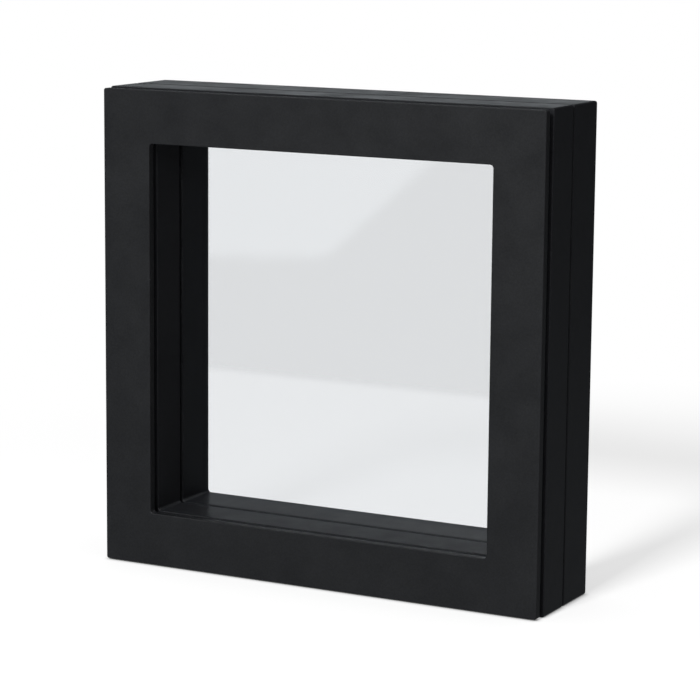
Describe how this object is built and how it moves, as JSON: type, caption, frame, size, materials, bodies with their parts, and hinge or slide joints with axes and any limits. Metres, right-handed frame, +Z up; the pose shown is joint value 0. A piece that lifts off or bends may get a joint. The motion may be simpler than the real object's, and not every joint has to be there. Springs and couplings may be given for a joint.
{
  "type": "floating picture frame",
  "caption": "Deep square display frame of black plastic in hinged halves that hold an object between clear stretched films, with a shadow groove behind the front face.",
  "frame": {"origin": "middle of the underside of the rear half, on the surface that the frame stands on", "axes": "+Z up, +Y from the front face to the back, +X to the right as seen from the front; the hinge is on the left"},
  "size_m": [0.1679, 0.04, 0.165],
  "materials": {
    "frame_plastic": "satin moulded black",
    "fascia_plastic": "satin moulded black, fine grain",
    "carrier_plastic": "matt moulded black",
    "clear_film": "clear elastic film",
    "screw_steel": "zinc plated",
    "magnet_nickel": "nickel plated",
    "keeper_steel": "zinc plated",
    "pin_steel": "ground"
  },
  "bodies": {
    "rear_half": {"rear_shell": "frame_plastic", "rear_film": "clear_film", "rear_film_carrier": "carrier_plastic", "rear_carrier_screws": "screw_steel", "rear_magnets": "magnet_nickel", "upper_hinge_pin": "pin_steel", "lower_hinge_pin": "pin_steel"},
    "front_half": {"front_shell": "frame_plastic", "front_fascia": "fascia_plastic", "front_film": "clear_film", "front_film_carrier": "carrier_plastic", "front_carrier_screws": "screw_steel", "front_keepers": "keeper_steel"}
  },
  "joints": [
    {"name": "front_half_hinge", "type": "hinge", "parent": "rear_half", "child": "front_half", "pos_m": [-0.0834, -0.0096, 0.0825], "axis": [0, 0, -1], "range_deg": [0, 180]}
  ]
}
